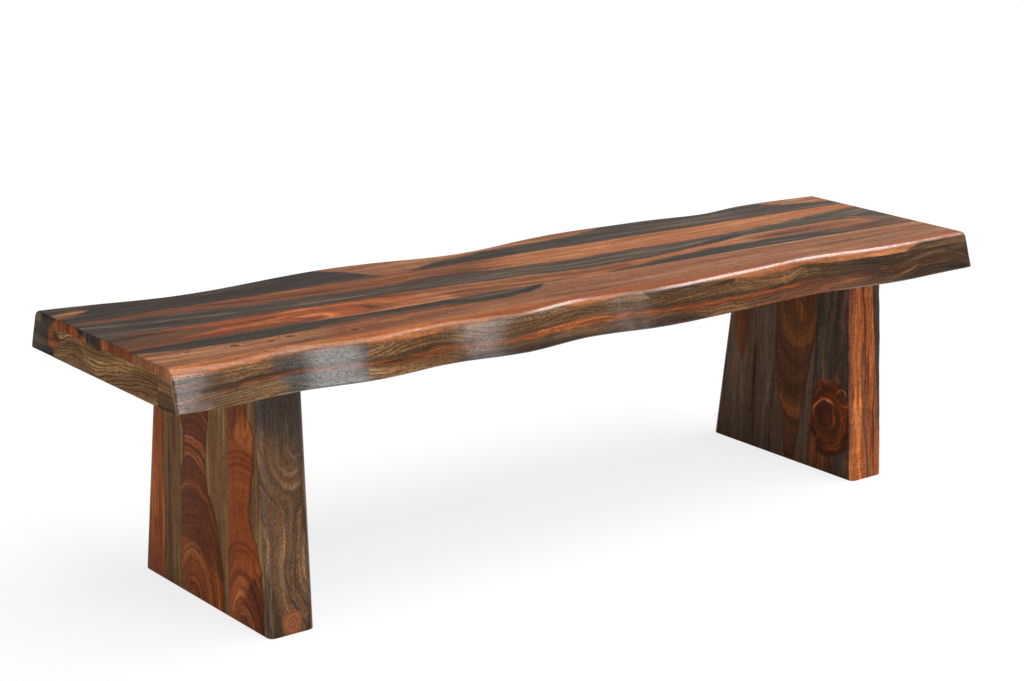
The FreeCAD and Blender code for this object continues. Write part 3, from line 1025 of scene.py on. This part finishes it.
def left_leg_front_wood():
    foot_core, top_core = (-20, -122, 0.55), (340, -124, 0.3)
    rear_edge = [(60, -66), (120, -80), (200, -90), (290, -88), (330, -110), (392, -200)]
    middle = [(90, 0), (170, -280), (235, -280), (310, 0)]
    foot = [(0, -112), (40, -120), (70, -132), (90, -152), (108, -190)]
    front_edge = [
        (0, -178), (72, -172), (112, -165), (142, -155), (167, -140), (192, -136), (242, -140), (267, -147),
        (317, -145), (342, -127), (392, -110),
    ]
    face = Face(LEG_AXES, [
        Layer("flame", cores=(foot_core, top_core), rings=0.6, gap=11, tone=0.9, swirl=14),
        Layer("redwood", low=rear_edge, cores=(top_core,), rings=0.6, gap=11, soft=22, feather=24),
        Layer("russet", low=middle, cores=(foot_core,), rings=0.5, gap=11, tone=0.5, soft=140, feather=24),
        Layer("redwood", high=foot, cores=(foot_core,), gap=10, fine=1.6, soft=24, feather=16),
        Layer("moss", high=front_edge, rim=0.6),
    ])
    eye_tones = [
        (0.0, (114, 68, 42)), (0.2, (134, 82, 50)), (0.35, (112, 63, 37)), (0.55, (138, 86, 52)),
        (0.75, (116, 66, 39)), (0.88, (140, 82, 48)), (1.0, (50, 32, 22)),
    ]
    eye = (20, -654, 17, 1.35, eye_tones)
    inner_edge = [(0, -630), (100, -622), (200, -628), (300, -624), (392, -628)]
    front = Face(LEG_EDGE_AXES, knots=[eye], looks=Y_FACES, turn=ROUND_CORNER, layers=[
        Layer("walnut", cores=((300, -630, 0.7), (120, -596, 0.45)), rings=0.4, gap=5, curl=0.25, speckle=0.7,
              tone=0.8, fine=3, swirl=30),
        Layer("dusk", low=inner_edge, soft=10, feather=16),
        # Darker grey towards the top, under the seat: painted shade
        Layer("slate", low=[(240, -590), (300, -650), (340, -720)], tone=0.6, swirl=20, soft=70, feather=30),
        Layer("dusk", high=[(0, -668), (60, -676), (110, -690), (150, -710)], soft=12),
    ])
    return board_wood("left_leg_front", 6.1, face, front, finish=LEG_FINISH)


def right_leg_rear_wood():
    patch = between((160, 135, 100), (172, 114, 120), (200, 107, 130), (262, 99, 139), (392, 95, 144))
    face = Face(LEG_AXES, [
        Layer("smoke", gap=9, rings=0.3),
        Layer("rust", **patch, tone=0.6, soft=8),
    ])
    return board_wood("right_leg_rear", 9.2, face, REAR_EDGE_FACE, finish=LEG_FINISH)


def right_leg_mid_wood():
    tongue_low = [
        (0, -35), (42, -42), (92, -47), (152, -57), (217, -65), (267, -75), (337, -78), (392, -80),
    ]
    tongue_high = [(0, -15), (42, -5), (97, 7), (157, 20), (227, 27), (297, 30), (392, 32)]
    tip = between(
        (272, -38, -42), (280, -46, -36), (292, -50, -26), (305, -42, -18), (318, -30, -16), (328, -20, -26),
    )
    face = Face(LEG_AXES, [
        Layer("smoke", gap=9, rings=0.3),
        Layer("rust", low=tongue_low, high=tongue_high, cores=((400, -28, 0.34),), gap=26, rings=0.4,
              tone=0.8, swirl=12, rim=0.4),
        Layer("amber", **tip, soft=6),
    ])
    return board_wood("right_leg_mid", 12.4, face, finish=LEG_FINISH)


def right_leg_front_wood():
    tones = [
        (0.0, (92, 50, 32)), (0.35, (66, 36, 24)), (0.6, (96, 50, 30)), (0.8, (72, 38, 25)),
        (0.9, (54, 30, 20)), (1.0, (30, 19, 13)),
    ]
    light, glow = shown(146, 68, 31), shown(214, 120, 60)
    arcs = [
        (112, -113, 29, 1.15, 20, glow), (112, -113, 24, 1.15, 250, light), (108, -118, 37, 1.25, 300, light),
        (108, -120, 44, 1.35, 230, light), (108, -120, 50, 1.4, 350, light), (108, -120, 57, 1.4, 40, light),
        (158, -152, 9, 1.2, 0, glow), (150, -162, 7, 1.2, 200, glow), (40, -100, 18, 1.8, 60, light),
        (30, -96, 10, 2.0, 80, light),
    ]
    foot_low = [(0, -128), (30, -140), (60, -165), (80, -200)]
    foot_high = [(0, -60), (60, -60), (100, -80), (130, -200)]
    face = Face(LEG_AXES, knots=[(108, -120, 58, 1.4, tones)], crescents=arcs, layers=[
        Layer("slate", gap=9, rings=0.3, tone=0.7, swirl=30),
        Layer("rust", low=foot_low, high=foot_high, gap=7, soft=10),
    ])
    vein = between(
        (0, 650, 662), (42, 648, 657), (72, 645, 654), (117, 639, 648), (142, 640, 646), (177, 636, 642),
        (207, 634, 640), (247, 638, 643), (275, 648, 640),
    )
    outer_edge = [(60, 692), (120, 685), (182, 680), (242, 675), (302, 668), (392, 662)]
    front = Face(LEG_EDGE_AXES, looks=Y_FACES, turn=ROUND_CORNER, layers=[
        Layer("ember", gap=14, rings=0.35, curl=0.3, speckle=0.8, tone=1.2, fine=1.6, swirl=16),
        Layer("rust", **vein, tone=0.6, soft=7, feather=24),
        Layer("dusk", low=outer_edge, rim=0.4),
    ])
    return board_wood("right_leg_front", 15.7, face, front, finish=LEG_FINISH)


def legs():
    woods = {
        "left_leg_board_rear": left_leg_rear_wood,
        "left_leg_board_mid": left_leg_mid_wood,
        "left_leg_board_front": left_leg_front_wood,
        "right_leg_board_rear": right_leg_rear_wood,
        "right_leg_board_mid": right_leg_mid_wood,
        "right_leg_board_front": right_leg_front_wood,
    }
    for label, wood in woods.items():
        ripple = RIPPLE_DEPTH if label == "right_leg_board_front" else 0.0
        finish_piece(leg_board(label, ripple), wood(), "leg_boards", label)


# Hidden structure


def sawn_wood(name, seed, wood):
    return board_wood(name, seed, Face(INNER_AXES, [Layer(wood)]), finish=SAWN_FINISH)


def zinc():
    g = Graph("zinc_plate")
    spangle = g.noise((g.x * 900, g.y * 900, g.z * 900), detail=3)
    cloud = g.noise((g.x * 160, g.y * 160, g.z * 160), detail=2)
    colour = g.mix(spangle, shown(150, 152, 156), shown(206, 207, 208))
    g.feed(g.shader.inputs["Base Color"], g.shade(colour, 0.8 + cloud * 0.3))
    g.feed(g.shader.inputs["Roughness"], 0.22 + spangle * 0.25)
    g.shader.inputs["Metallic"].default_value = 1.0
    return g.material


def hidden_nodes():
    inner_wood = sawn_wood("batten", 17.5, "umber")
    dowel_wood = sawn_wood("dowel", 19.5, "gold")
    materials = {"batten": inner_wood, "cleat": inner_wood, "dowels": dowel_wood, "screws": zinc()}
    for name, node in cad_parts.items():
        kind = name.split("_")[-1]
        if kind in materials:
            node.data.materials.clear()
            node.data.materials.append(materials[kind])


# Stage: pale floor, soft lamps and camera

FLOOR_REACH = 60.0
FLOOR_TONE = 0.96
FLOOR_GLOW = 0.8
WALL_LEVEL = 0.2
# Far lamps: place, spread in degrees and strength
FAR_LAMPS = {
    "key": ((0.8, -1.4, 3.4), 62, 2.5),
    "fill": ((-3.0, -1.2, 1.2), 60, 0.55),
    "front_glow": ((0.92, -3.69, 1.24), 18, 0.64),
}
# Soft box: place, size and power
SIDE_BANK = ((3.45, -0.3, 3.5), (2.6, 1.0), 94)
SEAT_MIDDLE = (0, 0, 0.4)
WHITE = (1, 1, 1, 1)

SENSOR_WIDTH = 36
LENS_PIXELS = 2206.17
PICTURE_WIDTH = 1024
CAMERA_PLACE = (-2.4090, -2.8234, 1.3412)
CAMERA_YAW, CAMERA_PITCH, CAMERA_ROLL = (math.radians(a) for a in (39.584, 15.325, -1.678))


def floor():
    """Pale floor that the camera and reflections see as nearly white."""
    r = FLOOR_REACH
    mesh = bpy.data.meshes.new("floor")
    mesh.from_pydata([(-r, -r, 0), (r, -r, 0), (r, r, 0), (-r, r, 0)], [], [(0, 1, 2, 3)])
    plane = bpy.data.objects.new("floor", mesh)
    bpy.context.scene.collection.objects.link(plane)
    g = Graph("pale_floor")
    g.shader.inputs["Base Color"].default_value = (FLOOR_TONE, FLOOR_TONE, FLOOR_TONE, 1)
    g.shader.inputs["Roughness"].default_value = 1.0
    g.shader.inputs["Specular IOR Level"].default_value = 0.0
    path = g.add("LightPath")
    rays = [g.out(path, f"Is {kind} Ray") for kind in ("Camera", "Glossy", "Transmission")]
    glow = g.out(g.add("Emission", WHITE, 1.0))
    shown_floor = g.out(g.add("MixShader", (rays[0] + rays[1] + rays[2]) * FLOOR_GLOW, g.out(g.shader), glow))
    g.feed(g.tree.nodes["Material Output"].inputs["Surface"], shown_floor)
    mesh.materials.append(g.material)


def surroundings():
    """Even studio walls."""
    world = bpy.data.worlds.new("studio")
    bpy.context.scene.world = world
    world.use_nodes = True
    back = world.node_tree.nodes["Background"]
    back.inputs["Color"].default_value = WHITE
    back.inputs["Strength"].default_value = WALL_LEVEL


def light_object(name, data, place, aim):
    obj = bpy.data.objects.new(name, data)
    bpy.context.scene.collection.objects.link(obj)
    obj.location = place
    obj.rotation_euler = (Vector(aim) - Vector(place)).to_track_quat("-Z", "Y").to_euler()


def far_lamp(name, place, spread, strength):
    """Broad soft lamp so far away that it lights the whole floor evenly."""
    data = bpy.data.lights.new(name, "SUN")
    data.angle = math.radians(spread)
    data.energy = strength
    light_object(name, data, place, (0, 0, 0))


def panel_lamp(name, place, size, power):
    """Soft box near the bench, which shows as a highlight on the rounded edges."""
    data = bpy.data.lights.new(name, "AREA")
    data.shape = "RECTANGLE"
    data.size, data.size_y = size
    data.energy = power
    light_object(name, data, place, SEAT_MIDDLE)


def camera():
    data = bpy.data.cameras.new("camera")
    data.sensor_width = SENSOR_WIDTH
    data.lens = LENS_PIXELS / PICTURE_WIDTH * SENSOR_WIDTH
    obj = bpy.data.objects.new("camera", data)
    bpy.context.scene.collection.objects.link(obj)
    yaw = Matrix.Rotation(-CAMERA_YAW, 4, "Z")
    pitch = Matrix.Rotation(math.pi / 2 - CAMERA_PITCH, 4, "X")
    roll = Matrix.Rotation(-CAMERA_ROLL, 4, "Z")
    obj.matrix_world = Matrix.Translation(CAMERA_PLACE) @ yaw @ pitch @ roll
    bpy.context.scene.camera = obj


seat_boards()
edge_strips()
end_fascias()
legs()
hidden_nodes()
floor()
surroundings()
for name, settings in FAR_LAMPS.items():
    far_lamp(name, *settings)
panel_lamp("side_bank", *SIDE_BANK)
camera()
bpy.context.scene.view_settings.view_transform = "Standard"
